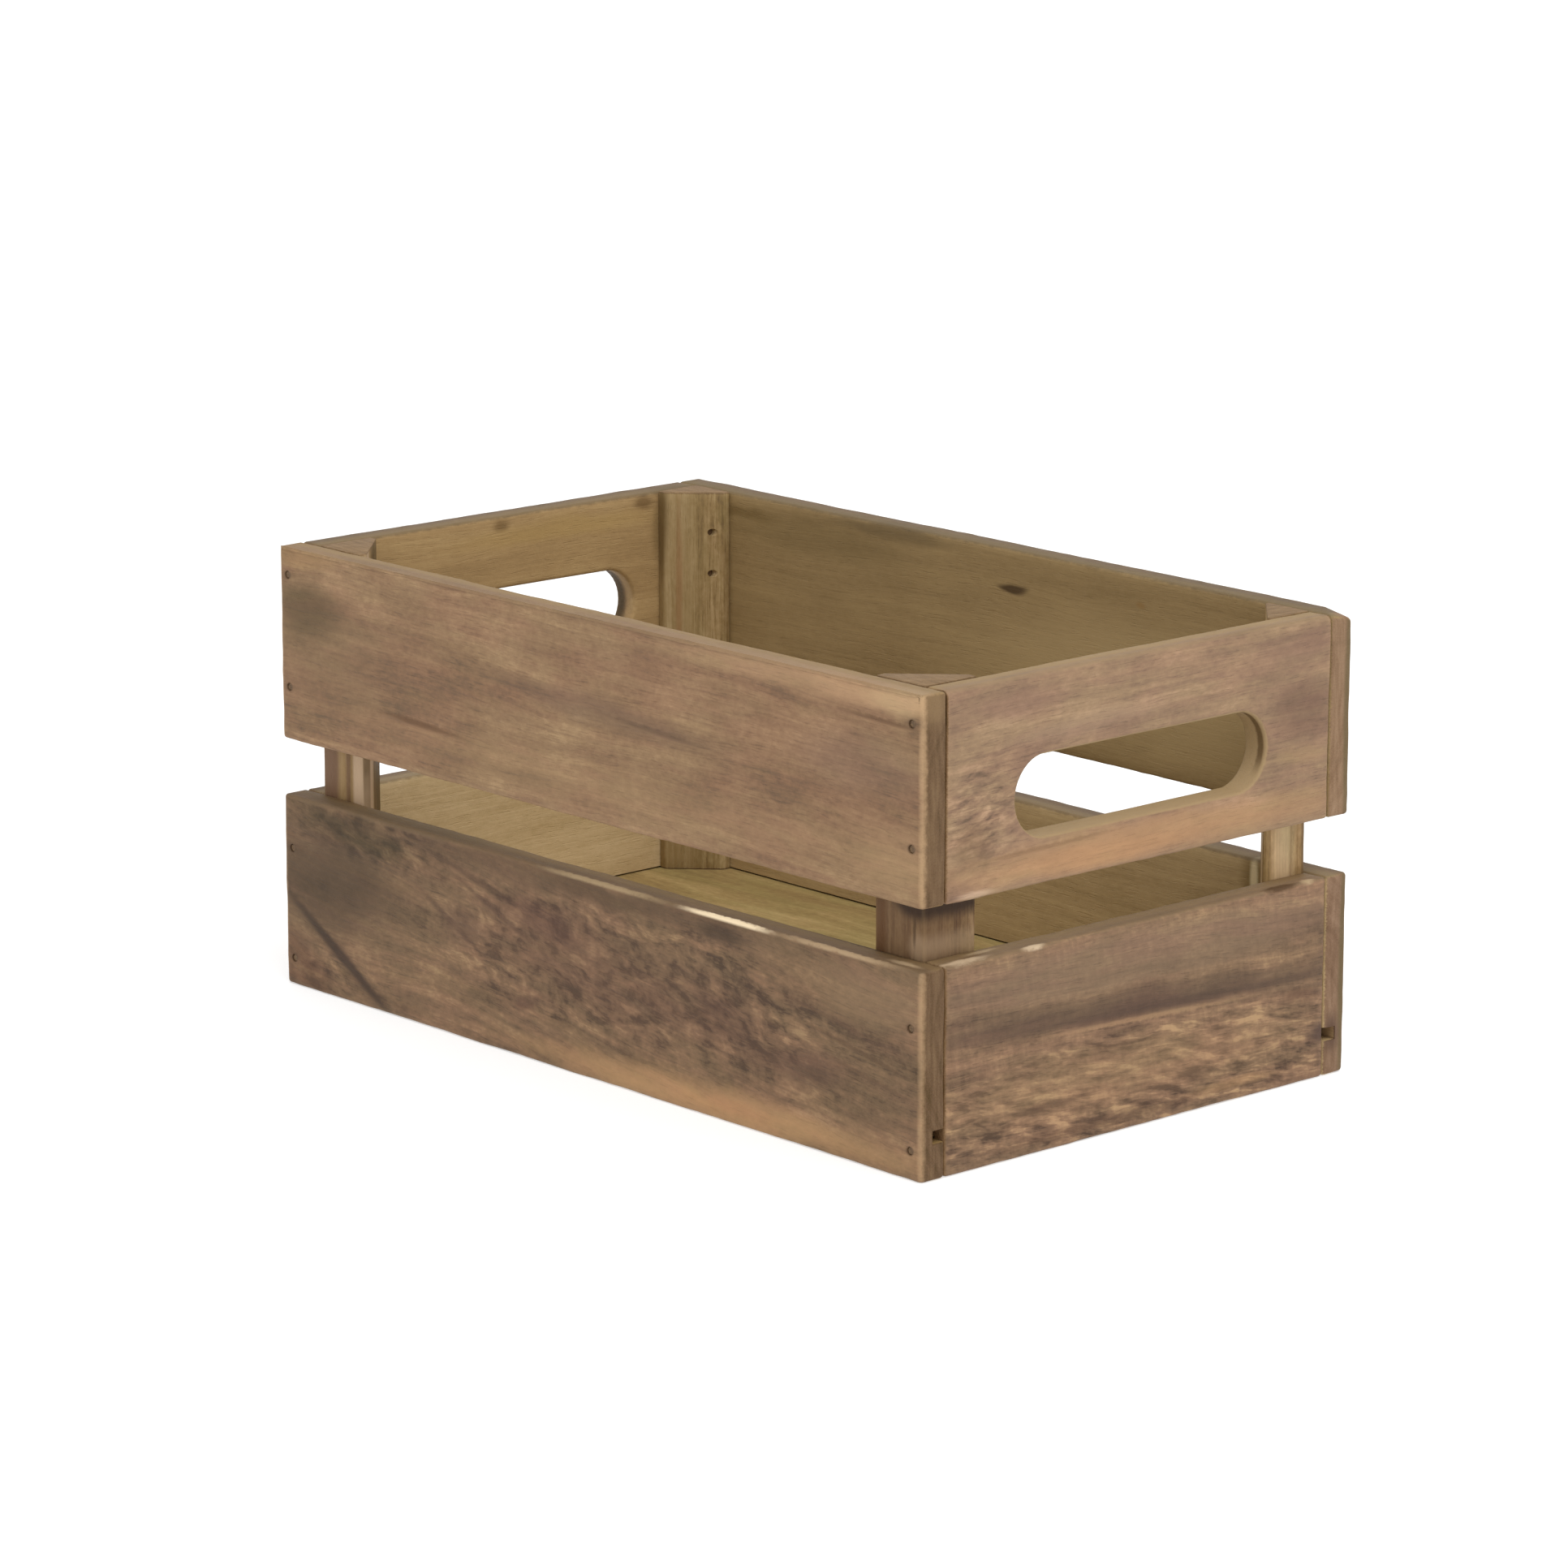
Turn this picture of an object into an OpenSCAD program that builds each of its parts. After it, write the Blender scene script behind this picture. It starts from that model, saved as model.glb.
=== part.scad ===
// Slatted wooden apple crate. Each wall is two boards with a gap between them. The long
// boards are nailed over the ends of the end boards, a three-cornered post stands inside
// each corner, and the thin floor panel is held in grooves in the four lower boards.
// Millimetres, +Z up, +X along the long side, origin on the ground under the middle.

/* [Crate] */
// Outside length, along the long boards
crate_l = 300; // [240:1:400]
// Outside width, over the two long walls
crate_w = 178; // [165:1:260]
// Thickness of every wall board
board_t = 9.5; // [8:0.5:12]
// Height of one wall board
board_h = 63; // [56:1:80]
// Gap between the lower and the upper board of a wall
gap_h = 18; // [10:1:30]
// Radius worn onto the lengthwise edges of the boards
edge_r = 1.2; // [0.5:0.1:2]

/* [Hand slots] */
// Length of a hand slot
slot_l = 104; // [80:1:110]
// Height of a hand slot
slot_h = 24.5; // [20:0.5:30]
// How far a hand slot lies below the middle of its board
slot_drop = 5; // [0:0.5:6]

/* [Corner posts] */
// Width of each square face of a front post
front_leg = 20.5; // [16:0.5:24]
// Width of each square face of a back post
back_leg = 17; // [16:0.5:24]
// Thickness left at the two thin edges of a post
post_edge = 3; // [1:0.5:4]

/* [Floor] */
// Thickness of the floor panel
floor_t = 3.6; // [3:0.1:5]
// Height of the floor's underside above the ground
floor_rise = 11; // [11:0.5:16]
// Depth of the grooves that hold the floor
groove_depth = 5; // [3:0.5:6]
// Play above the floor in its grooves
groove_play = 0.5; // [0.3:0.1:0.8]
// Play between an edge of the floor and the bottom of its groove
floor_play = 0.6; // [0.3:0.1:0.9]

/* [Nails] */
// Diameter of a nail's shank
nail_d = 1.6; // [1.2:0.1:1.8]
// Diameter of a nail's head
head_d = 2.4; // [2:0.1:3]
// Thickness of a nail's head
head_t = 0.8; // [0.5:0.1:1.2]
// Length of a nail's point
point_l = 2; // [1:0.5:3]
// Diameter of the flat at the end of the point
point_d = 0.4; // [0.2:0.1:0.6]
// Depth of a driven head below the face of the wood
set_depth = 0.4; // [0.2:0.1:0.8]
// Play all round a nail in its hole
nail_play = 0.04; // [0.02:0.01:0.08]
// Length of the nails in the long boards
side_nail_l = 25; // [20:1:28]
// Distance of a wall's top and bottom nails from the rim and the foot
outer_nail_in = 9; // [7:0.5:9]
// Distance of a wall's other nails from the gap
inner_nail_in = 17.5; // [17:0.5:22]
// Depth of a post's first nail below the top edge of each end board
post_nail_top = 13.5; // [13:0.5:14]
// Distance between the two nails that hold a post to one end board
post_nail_pitch = 14; // [13:0.5:16]
// Distance of the post nails from the long boards
post_nail_in = 5.5; // [4:0.5:7]
// Depth that a post nail reaches into the end board
post_nail_bite = 6; // [4:0.5:7]

/* [Hidden] */
$fn = 48;

// Sides of the crate, as signs along X and Y
left = -1;
right = 1;
front = -1;
back = 1;

// How far a cutter runs past the face that it opens
cut = 1;

upper_z = board_h + gap_h;            // underside of the upper boards
crate_h = upper_z + board_h;
end_l = crate_w - 2 * board_t;        // an end board fits between the long boards
inside_x = crate_l / 2 - board_t;     // inner face of an end wall
inside_y = crate_w / 2 - board_t;     // inner face of a long wall
slot_z = upper_z + board_h / 2 - slot_drop;
floor_top = floor_rise + floor_t;
groove_h = floor_t + groove_play;
floor_reach = groove_depth - floor_play;       // how far the floor goes into a groove
post_head_in = set_depth + head_d / 2;         // keeps a head under a slanting face

lower_nail_z = [outer_nail_in, board_h - inner_nail_in];
upper_nail_z = [upper_z + inner_nail_in, crate_h - outer_nail_in];
post_nail_z = [post_nail_top, post_nail_top + post_nail_pitch];   // below a board's top edge

// ---- shared shapes ----

// Section of a sawn board, with its corners worn round
module board_section() {
    translate([edge_r, 0]) square([board_t - 2 * edge_r, board_h]);
    translate([0, edge_r]) square([board_t, board_h - 2 * edge_r]);
    for (x = [edge_r, board_t - edge_r], z = [edge_r, board_h - edge_r])
        translate([x, z]) circle(edge_r);
}

// A nail pointing down, with the middle of its head's face at the origin
module nail(l) {
    shank_l = l - head_t - point_l;
    translate([0, 0, -head_t]) cylinder(h = head_t, d = head_d);
    translate([0, 0, -head_t - shank_l]) cylinder(h = shank_l, d = nail_d);
    translate([0, 0, -l]) cylinder(h = point_l, d1 = point_d, d2 = nail_d);
}

// The hole round that nail, with the head's pocket left open for pocket_l above it
module nail_hole(l, pocket_l) {
    translate([0, 0, -head_t]) cylinder(h = head_t + pocket_l, d = head_d + 2 * nail_play);
    translate([0, 0, -l - nail_play]) cylinder(h = l, d = nail_d + 2 * nail_play);
}

// Puts a nail at each place where a long board of wall y_side meets the end boards
module at_side_nails(y_side, heights) {
    for (x_side = [left, right], z = heights)
        translate([x_side * (crate_l - board_t) / 2, y_side * (crate_w / 2 - set_depth), z])
            rotate([-y_side * 90, 0, 0]) children();
}

// Puts a nail at each place where a post is held to the end board whose top is at top_z
module at_post_nails(x_side, y_side, leg, top_z) {
    head_x = inside_x - post_nail_reach(leg);
    for (depth = post_nail_z)
        translate([x_side * head_x, y_side * (inside_y - post_nail_in), top_z - depth])
            rotate([0, -x_side * 90, 0]) children();
}

function leg_of(y_side) = y_side == front ? front_leg : back_leg;
// From an end board's inner face to the head of a nail, which lies just under the slanting face
function post_nail_reach(leg) = leg + post_edge - post_nail_in - post_head_in;
function post_nail_l(leg) = post_nail_reach(leg) + post_nail_bite;

// ---- wooden pieces ----

module long_board(y_side, z, heights) {
    difference() {
        translate([-crate_l / 2, y_side == front ? -crate_w / 2 : inside_y, z])
            rotate([90, 0, 90]) linear_extrude(crate_l) board_section();
        at_side_nails(y_side, heights) nail_hole(side_nail_l, cut);
    }
}

// The groove runs right through, so its two ends show in the end grain
module grooved_long_board(y_side) {
    difference() {
        long_board(y_side, 0, lower_nail_z);
        translate([-crate_l / 2 - cut, y_side * (inside_y + (groove_depth - cut) / 2) -
                   (groove_depth + cut) / 2, floor_rise])
            cube([crate_l + 2 * cut, groove_depth + cut, groove_h]);
    }
}

module end_board(x_side, z, heights) {
    difference() {
        translate([x_side == left ? -crate_l / 2 : inside_x, end_l / 2, z])
            rotate([90, 0, 0]) linear_extrude(end_l) board_section();
        for (y_side = [front, back]) {
            at_side_nails(y_side, heights) nail_hole(side_nail_l, cut);
            at_post_nails(x_side, y_side, leg_of(y_side), z + board_h)
                nail_hole(post_nail_l(leg_of(y_side)), cut);
        }
    }
}

module slotted_end_board(x_side) {
    difference() {
        end_board(x_side, upper_z, upper_nail_z);
        translate([x_side * (inside_x + board_t / 2), 0, slot_z]) {
            cube([board_t + 2 * cut, slot_l - slot_h, slot_h], center = true);
            for (y_side = [front, back])
                translate([0, y_side * (slot_l - slot_h) / 2, 0]) rotate([0, 90, 0])
                    cylinder(h = board_t + 2 * cut, d = slot_h, center = true);
        }
    }
}

module grooved_end_board(x_side) {
    difference() {
        end_board(x_side, 0, lower_nail_z);
        translate([x_side * (inside_x + (groove_depth - cut) / 2) - (groove_depth + cut) / 2,
                   -end_l / 2 - cut, floor_rise])
            cube([groove_depth + cut, end_l + 2 * cut, groove_h]);
    }
}

// A three-cornered post with blunt edges, square into its corner, standing on the floor up to
// the rim
module post(x_side, y_side) {
    leg = leg_of(y_side);
    corner = [x_side * inside_x, y_side * inside_y];
    difference() {
        translate([0, 0, floor_top]) linear_extrude(crate_h - floor_top)
            polygon([corner,
                     corner - [x_side * leg, 0], corner - [x_side * leg, y_side * post_edge],
                     corner - [x_side * post_edge, y_side * leg], corner - [0, y_side * leg]]);
        for (top_z = [board_h, crate_h])
            at_post_nails(x_side, y_side, leg, top_z) nail_hole(post_nail_l(leg), leg);
    }
}

// ---- nails ----

module side_nails(y_side, heights) {
    color("dimgray") at_side_nails(y_side, heights) nail(side_nail_l);
}

module post_nails(x_side, y_side) {
    leg = leg_of(y_side);
    color("dimgray") for (top_z = [board_h, crate_h])
        at_post_nails(x_side, y_side, leg, top_z) nail(post_nail_l(leg));
}

// ---- the nodes ----

module front_upper_board() { color("#8f7359") long_board(front, upper_z, upper_nail_z); }
module front_lower_board() { color("#6b5844") grooved_long_board(front); }
module back_upper_board() { color("#7a6341") long_board(back, upper_z, upper_nail_z); }
module back_lower_board() { color("#7d6743") grooved_long_board(back); }

module left_upper_end() { color("#93754d") slotted_end_board(left); }
module left_lower_end() { color("#8a7049") grooved_end_board(left); }
module right_upper_end() { color("#9c7d63") slotted_end_board(right); }
module right_lower_end() { color("#86694f") grooved_end_board(right); }

module front_left_post() { color("#a08868") post(left, front); }
module front_right_post() { color("#8c6d48") post(right, front); }
module back_left_post() { color("#94794a") post(left, back); }
module back_right_post() { color("#a58c63") post(right, back); }

// The panel lies on the lower lips of the grooves
module floor_panel() {
    size = [2 * (inside_x + floor_reach), 2 * (inside_y + floor_reach), floor_t];
    color("#9a8350") translate([0, 0, floor_rise + floor_t / 2]) cube(size, center = true);
}

module front_upper_nails() { side_nails(front, upper_nail_z); }
module front_lower_nails() { side_nails(front, lower_nail_z); }
module back_upper_nails() { side_nails(back, upper_nail_z); }
module back_lower_nails() { side_nails(back, lower_nail_z); }

module front_left_post_nails() { post_nails(left, front); }
module front_right_post_nails() { post_nails(right, front); }
module back_left_post_nails() { post_nails(left, back); }
module back_right_post_nails() { post_nails(right, back); }

front_upper_board();
front_lower_board();
back_upper_board();
back_lower_board();
left_upper_end();
left_lower_end();
right_upper_end();
right_lower_end();
front_left_post();
front_right_post();
back_left_post();
back_right_post();
floor_panel();
front_upper_nails();
front_lower_nails();
back_upper_nails();
back_lower_nails();
front_left_post_nails();
front_right_post_nails();
back_left_post_nails();
back_right_post_nails();
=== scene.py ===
# Slatted wooden crate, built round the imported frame: boards with worn edges, three-cornered posts,
# a thin floor in its grooves, and nails set just below the wood. Every board has its own figure.
import math

import bmesh
import bpy
from mathutils import Matrix, Vector


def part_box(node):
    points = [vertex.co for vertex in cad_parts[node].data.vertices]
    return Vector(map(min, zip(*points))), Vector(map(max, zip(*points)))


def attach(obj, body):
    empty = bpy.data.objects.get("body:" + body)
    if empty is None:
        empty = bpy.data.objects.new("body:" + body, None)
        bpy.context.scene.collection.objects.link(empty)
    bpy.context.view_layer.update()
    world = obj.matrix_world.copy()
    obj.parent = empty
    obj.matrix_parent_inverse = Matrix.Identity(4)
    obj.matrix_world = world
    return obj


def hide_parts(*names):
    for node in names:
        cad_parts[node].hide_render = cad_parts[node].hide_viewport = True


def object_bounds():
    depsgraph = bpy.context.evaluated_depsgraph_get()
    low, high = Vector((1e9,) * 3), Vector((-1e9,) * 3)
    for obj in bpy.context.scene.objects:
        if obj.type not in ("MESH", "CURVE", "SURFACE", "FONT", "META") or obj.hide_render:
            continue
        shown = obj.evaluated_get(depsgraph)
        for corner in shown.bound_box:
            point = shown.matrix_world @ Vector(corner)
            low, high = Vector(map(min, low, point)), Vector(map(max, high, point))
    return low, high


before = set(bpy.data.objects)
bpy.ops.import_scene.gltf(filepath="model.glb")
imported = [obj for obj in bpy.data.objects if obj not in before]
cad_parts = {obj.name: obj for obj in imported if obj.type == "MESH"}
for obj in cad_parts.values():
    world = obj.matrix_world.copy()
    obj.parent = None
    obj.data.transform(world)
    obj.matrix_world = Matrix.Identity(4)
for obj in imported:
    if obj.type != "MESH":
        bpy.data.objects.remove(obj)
cadLow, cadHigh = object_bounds()
crateLow, crateHigh = Vector(cadLow), Vector(cadHigh)
mm = 0.001
print("frame loaded:", len(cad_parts), "nodes")


# The camera, the ground and the light.

shot = {
    "azimuth": 48.08,  # degrees round the crate from straight in front
    "elevation": 13.27,
    "distance": 1.884,  # metres
    "target": (-0.0039, -0.0037, 0.078),
    "lens": 138.5,
}

studio = {
    "floorSize": 16.0,
    "floorColour": (0.62, 0.62, 0.62),
    "floorGlow": 0.46,  # keeps the ground white right up to the crate
    "floorRoughness": 0.9,
    "floorShine": 0.1,
    "skyStrength": 0.88,
    "sun": {"azimuth": 55, "elevation": 60, "strength": 0.9, "angle": 40, "colour": (1.0, 1.0, 0.98)},
    "lamps": [  # soft square lamps: degrees, metres and watts
        {"name": "keyLamp", "azimuth": 100, "elevation": 52, "distance": 2.2, "size": 1.3,
         "power": 9.0, "colour": (1.0, 0.98, 0.95)},
        {"name": "frontLamp", "azimuth": 8, "elevation": 34, "distance": 2.4, "size": 1.6,
         "power": 3.0, "colour": (1.0, 0.99, 0.97)},
    ],
}


def fromAngles(azimuth, elevation):
    turn = math.radians(azimuth)
    rise = math.radians(elevation)
    return Vector((math.sin(turn) * math.cos(rise), -math.cos(turn) * math.cos(rise), math.sin(rise)))


def aim(thing, target):
    thing.rotation_euler = (Vector(target) - thing.location).to_track_quat("-Z", "Y").to_euler()


def makeCamera():
    target = Vector(shot["target"])
    outward = fromAngles(shot["azimuth"], shot["elevation"])
    bpy.ops.object.camera_add(location=target + shot["distance"] * outward)
    camera = bpy.context.object
    camera.name = "shotCamera"
    camera.data.lens = shot["lens"]
    camera.data.sensor_width = 36
    aim(camera, target)
    bpy.context.scene.camera = camera


def makeLamp(lamp):
    middle = Vector((0, 0, crateHigh.z / 2))
    place = middle + lamp["distance"] * fromAngles(lamp["azimuth"], lamp["elevation"])
    bpy.ops.object.light_add(type="AREA", location=place)
    light = bpy.context.object
    light.name = lamp["name"]
    light.data.size = lamp["size"]
    light.data.energy = lamp["power"]
    light.data.color = lamp["colour"]
    aim(light, middle)


def makeSun(sun):
    bpy.ops.object.light_add(type="SUN", location=2 * fromAngles(sun["azimuth"], sun["elevation"]))
    light = bpy.context.object
    light.name = "overheadSun"
    light.data.energy = sun["strength"]
    light.data.angle = math.radians(sun["angle"])
    light.data.color = sun["colour"]
    aim(light, (0, 0, 0))


def makeStudio():
    world = bpy.data.worlds.new("studioWorld")
    world.use_nodes = True
    backdrop = world.node_tree.nodes["Background"]
    backdrop.inputs["Color"].default_value = (1, 1, 1, 1)
    backdrop.inputs["Strength"].default_value = studio["skyStrength"]
    bpy.context.scene.world = world
    bpy.context.scene.view_settings.view_transform = "Standard"
    for lamp in studio["lamps"]:
        makeLamp(lamp)
    makeSun(studio["sun"])
    bpy.ops.mesh.primitive_plane_add(size=studio["floorSize"], location=(0, 0, crateLow.z))
    floor = bpy.context.object
    floor.name = "studioFloor"
    bpy.ops.object.transform_apply(location=True, rotation=True, scale=True)
    paper = bpy.data.materials.new("studioPaper")
    paper.use_nodes = True
    sheet = paper.node_tree.nodes["Principled BSDF"]
    sheet.inputs["Base Color"].default_value = (*studio["floorColour"], 1)
    sheet.inputs["Roughness"].default_value = studio["floorRoughness"]
    sheet.inputs["Emission Color"].default_value = (1, 1, 1, 1)
    sheet.inputs["Emission Strength"].default_value = studio["floorGlow"]
    sheet.inputs["Specular IOR Level"].default_value = studio["floorShine"]
    floor.data.materials.append(paper)


makeCamera()
makeStudio()
print("camera, lamps and floor made")


# Helpers that work on meshes.

def openMesh(piece):  # edit mode with nothing picked
    bpy.ops.object.select_all(action="DESELECT")
    bpy.context.view_layer.objects.active = piece
    piece.select_set(True)
    bpy.ops.object.mode_set(mode="EDIT")
    bpy.ops.mesh.select_mode(type="EDGE")
    bpy.ops.mesh.select_all(action="DESELECT")


def closeMesh():
    bpy.ops.object.mode_set(mode="OBJECT")


def addBlock(name, low, high):
    bpy.ops.object.select_all(action="DESELECT")
    bpy.ops.mesh.primitive_cube_add(size=1, location=(low + high) / 2, scale=high - low)
    block = bpy.context.object
    block.name = name
    bpy.ops.object.transform_apply(location=True, rotation=True, scale=True)
    return block


def pickEdges(piece, wanted):
    shape = bmesh.from_edit_mesh(piece.data)
    bpy.ops.mesh.select_all(action="DESELECT")
    for edge in shape.edges:
        if wanted(edge):
            edge.select_set(True)
    bmesh.update_edit_mesh(piece.data)


meshCare = {
    "sharp": 35,  # degrees between the two faces of an edge of the wood
    "near": 0.01 * mm,  # two places closer than this are the same place
}


def isSharp(edge):
    return len(edge.link_faces) == 2 and edge.calc_face_angle(0) > math.radians(meshCare["sharp"])


def isNear(first, second):
    return abs(first - second) < meshCare["near"]


def middleOf(edge):
    return (edge.verts[0].co + edge.verts[1].co) / 2


def roundEdges(piece, radius, wanted, segments=3):
    openMesh(piece)
    pickEdges(piece, wanted)
    bpy.ops.mesh.bevel(offset=radius, segments=segments, affect="EDGES")
    closeMesh()


def sliceMesh(piece, axis, places):
    openMesh(piece)
    normal = Vector((0, 0, 0))
    normal[axis] = 1
    for place in places:
        bpy.ops.mesh.select_all(action="SELECT")
        bpy.ops.mesh.bisect(plane_co=normal * place, plane_no=normal)
    closeMesh()


def evenCuts(low, high, step):
    count = max(1, round((high - low) / step))
    return [low + (high - low) * turn / count for turn in range(1, count)]


def applyModifier(piece, modifier):
    bpy.context.view_layer.objects.active = piece
    bpy.ops.object.modifier_apply(modifier=modifier.name)


def cutAway(piece, cutter):
    modifier = piece.modifiers.new("cut", "BOOLEAN")
    modifier.operation = "DIFFERENCE"
    modifier.solver = "EXACT"
    modifier.object = cutter
    applyModifier(piece, modifier)
    bpy.data.objects.remove(cutter)


def joinAll(name, parts):
    bpy.ops.object.select_all(action="DESELECT")
    for part in parts:
        part.select_set(True)
    bpy.context.view_layer.objects.active = parts[0]
    if len(parts) > 1:
        bpy.ops.object.join()
    parts[0].name = name
    parts[0].data.name = name
    return parts[0]


def edgeDistance(point, low, high):  # from a point of a block's skin to the block's nearest edge
    near = sorted(min(point[axis] - low[axis], high[axis] - point[axis]) for axis in range(3))
    return near[1]


wearRise = 1.6  # how fast the wear grows towards an edge
dentLevel = 0.3  # the cloud value that leaves the wood where it was
wearScales = [  # how wide and deep the dents are, and how far in from an edge
    {"size": 6.0 * mm, "depth": 0.30 * mm, "reach": 2.2 * mm},
    {"size": 26.0 * mm, "depth": 0.35 * mm, "reach": 3.0 * mm},
    {"size": 60.0 * mm, "depth": 0.25 * mm, "reach": 1.0},
]


def wearDown(piece, low, high, amount=1.0):
    for number, wear in enumerate(wearScales):
        groupName = f"wear{number}"
        group = piece.vertex_groups.new(name=groupName)
        for vertex in piece.data.vertices:
            nearness = 1 - edgeDistance(vertex.co, low, high) / wear["reach"]
            if nearness > 0:
                group.add([vertex.index], min(1, nearness * wearRise), "REPLACE")
        dents = bpy.data.textures.new(f"dents{number}", "CLOUDS")
        dents.noise_scale = wear["size"]
        dents.noise_depth = 1
        modifier = piece.modifiers.new("wear", "DISPLACE")
        modifier.texture = dents
        modifier.texture_coords = "LOCAL"
        modifier.vertex_group = groupName
        modifier.strength = -wear["depth"] * amount
        modifier.mid_level = dentLevel
        applyModifier(piece, modifier)
    piece.vertex_groups.clear()


def smoothOver(piece, angle=32):
    bpy.ops.object.select_all(action="DESELECT")
    bpy.context.view_layer.objects.active = piece
    piece.select_set(True)
    bpy.ops.object.shade_smooth_by_angle(angle=math.radians(angle))


def finishPiece(piece, node, slotName, material):
    piece.data.materials.clear()
    piece.data.materials.append(material)
    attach(piece, "root")
    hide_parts(node)


# Nails, and the holes they sit in.

nailSize = {
    "head": 2.4 * mm,
    "headHeight": 0.8 * mm,
    "headRound": 0.16 * mm,
    "punch": 1.3 * mm,  # dimple that the nail set leaves
    "punchDepth": 0.12 * mm,
    "punchFloor": 0.55,  # the flat share of the dimple
    "neck": 0.1 * mm,
    "shank": 1.6 * mm,
    "point": 2.0 * mm,
    "tip": 0.4 * mm,
    "sides": 24,
    "pocket": 0.7 * mm,  # the hole goes on this far past the head of a set nail
    "postPocket": 20 * mm,  # far enough to come out of a post's slanted face
    "pocketFlare": 1.12,  # how much wider the pocket is at its mouth
    "play": 0.04 * mm,
    "postPitch": 14.0 * mm,  # between the two nails of one joint in a post
}


def turnedBar(name, steps):
    # steps: radius and height of each ring, from the top face down
    top = steps[0]
    bpy.ops.object.select_all(action="DESELECT")
    bpy.ops.mesh.primitive_circle_add(vertices=nailSize["sides"], radius=top[0], fill_type="NGON",
                                      location=(0, 0, top[1]))
    bar = bpy.context.object
    bar.name = name
    bpy.ops.object.transform_apply(location=True, rotation=True, scale=True)
    bpy.ops.object.mode_set(mode="EDIT")
    bpy.ops.mesh.select_all(action="SELECT")
    radius, height = top
    for nextRadius, nextHeight in steps[1:]:
        bpy.ops.mesh.extrude_region_move(TRANSFORM_OT_translate={"value": (0, 0, nextHeight - height)})
        growth = nextRadius / radius
        bpy.ops.transform.resize(value=(growth, growth, 1), center_override=(0, 0, nextHeight))
        radius, height = nextRadius, nextHeight
    bpy.ops.mesh.select_all(action="SELECT")
    bpy.ops.mesh.normals_make_consistent(inside=False)
    bpy.ops.object.mode_set(mode="OBJECT")
    return bar


def makeNail(name, length):
    head = nailSize["head"] / 2
    shank = nailSize["shank"] / 2
    edge = nailSize["headRound"]
    under = -nailSize["headHeight"]
    return turnedBar(name, [
        (nailSize["punch"] / 2 * nailSize["punchFloor"], -nailSize["punchDepth"]),
        (nailSize["punch"] / 2, 0),
        (head - edge, -edge * 0.2),
        (head - edge * 0.3, -edge * 0.55),
        (head, -edge * 1.3),
        (head, under + edge),
        (head - edge, under),
        (shank, under - nailSize["neck"]),
        (shank, -length + nailSize["point"]),
        (nailSize["tip"] / 2, -length),
    ])


def makeNailHole(name, length, pocket):
    head = nailSize["head"] / 2 + nailSize["play"]
    shank = nailSize["shank"] / 2 + nailSize["play"]
    return turnedBar(name, [
        (head * nailSize["pocketFlare"], pocket),
        (head, 0),
        (head, -nailSize["headHeight"]),
        (shank, -nailSize["headHeight"]),
        (shank, -length - nailSize["play"]),
    ])


def setNails(first, spots, way, name):
    # way: the direction that the nails are driven in
    turn = Vector((0, 0, -1)).rotation_difference(way).to_matrix().to_4x4()
    nails = []
    for spot in spots:
        nail = first.copy()
        nail.data = first.data.copy()
        bpy.context.collection.objects.link(nail)
        nail.data.transform(Matrix.Translation(spot) @ turn)
        nails.append(nail)
    bpy.data.objects.remove(first)
    return joinAll(name, nails)


def sideNailSpots(node, ySide):
    low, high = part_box(node)
    inset = nailSize["head"] / 2
    headY = low.y if ySide < 0 else high.y
    return [Vector((x, headY, z)) for x in (low.x + inset, high.x - inset)
            for z in (low.z + inset, high.z - inset)]


def postNailSpots(node, xSide):
    low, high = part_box(node)
    inset = nailSize["head"] / 2
    headX = low.x if xSide > 0 else high.x
    y = (low.y + high.y) / 2
    pitch = nailSize["postPitch"]
    bottom, top = low.z + inset, high.z - inset
    return [Vector((headX, y, z)) for z in (bottom, bottom + pitch, top - pitch, top)]


def nailPlan():
    plan = {}
    for ySide, wall in ((-1, "front"), (1, "back")):
        for level in ("upper", "lower"):
            node = f"{wall}_{level}_nails"
            low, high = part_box(node)
            plan[node] = {"spots": sideNailSpots(node, ySide), "way": Vector((0, -ySide, 0)),
                          "length": high.y - low.y, "pocket": nailSize["pocket"]}
        for xSide, hand in ((-1, "left"), (1, "right")):
            node = f"{wall}_{hand}_post_nails"
            low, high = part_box(node)
            plan[node] = {"spots": postNailSpots(node, xSide), "way": Vector((xSide, 0, 0)),
                          "length": high.x - low.x, "pocket": nailSize["postPocket"]}
    return plan


nails = nailPlan()


def drillFor(piece, nodes):
    for node in nodes:
        plan = nails[node]
        hole = makeNailHole("drill", plan["length"], plan["pocket"])
        cutAway(piece, setNails(hole, plan["spots"], plan["way"], "drills"))


# Sums written as shader nodes.

def tone(code):  # a colour written as rrggbb, made linear
    parts = [int(code[place:place + 2], 16) / 255 for place in (0, 2, 4)]
    linear = [part / 12.92 if part <= 0.04045 else ((part + 0.055) / 1.055) ** 2.4 for part in parts]
    return (*linear, 1)


class Wire:  # a shader socket that takes part in sums
    def __init__(self, paint, socket):
        self.paint = paint
        self.socket = socket

    def __add__(self, other):
        return self.paint.maths("ADD", self, other)

    def __sub__(self, other):
        return self.paint.maths("SUBTRACT", self, other)

    def __rsub__(self, other):
        return self.paint.maths("SUBTRACT", other, self)

    def __mul__(self, other):
        return self.paint.maths("MULTIPLY", self, other)

    def __truediv__(self, other):
        return self.paint.maths("DIVIDE", self, other)

    __radd__ = __add__
    __rmul__ = __mul__


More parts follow.
